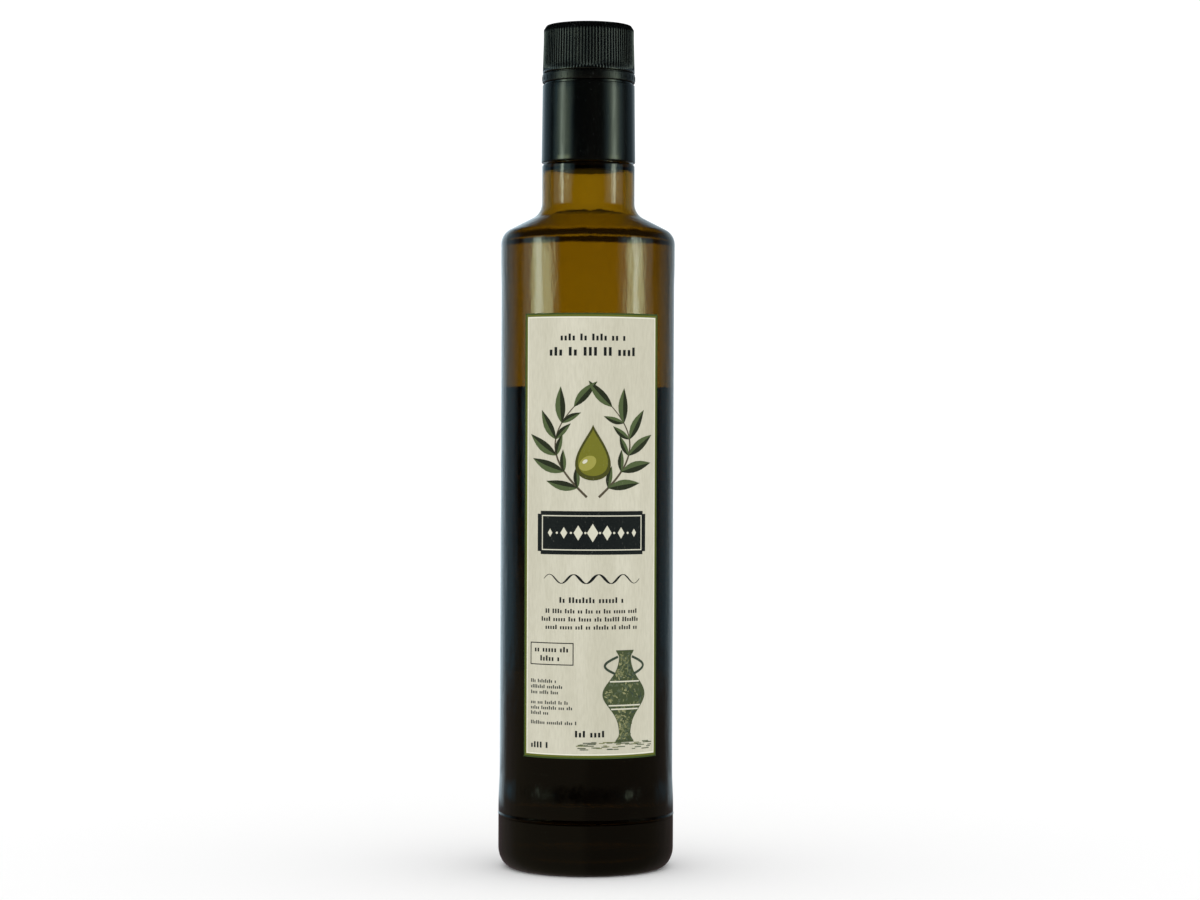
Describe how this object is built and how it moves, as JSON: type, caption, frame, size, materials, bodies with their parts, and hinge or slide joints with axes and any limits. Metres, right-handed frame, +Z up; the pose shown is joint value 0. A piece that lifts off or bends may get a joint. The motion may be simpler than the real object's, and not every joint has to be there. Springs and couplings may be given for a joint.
{
  "type": "olive oil bottle",
  "caption": "Slim round glass bottle full of olive oil, with a flat shoulder, short neck, ribbed screw cap over a tamper band and sleeve, and paper labels.",
  "frame": {"origin": "middle of the foot ring, on the surface the bottle stands on", "axes": "+Z up along the bottle's axis; the front label faces -Y; +X to the right as seen from the front"},
  "size_m": [0.0608, 0.0608, 0.2903],
  "materials": {
    "green_glass": "dark olive green glass, glossy",
    "olive_oil": "clear golden oil",
    "cap_plastic": "black, satin, finely ribbed",
    "band_plastic": "black, satin",
    "sleeve_plastic": "black, smooth, semi-gloss",
    "front_paper": "uncoated laid paper, cream, with a green border and a printed olive sprig",
    "back_paper": "uncoated laid paper, cream, with a green border"
  },
  "bodies": {
    "root": {"glass_bottle": "green_glass", "oil": "olive_oil", "screw_cap": "cap_plastic", "tamper_band": "band_plastic", "cap_sleeve": "sleeve_plastic", "front_label": "front_paper", "back_label": "back_paper"}
  },
  "joints": []
}
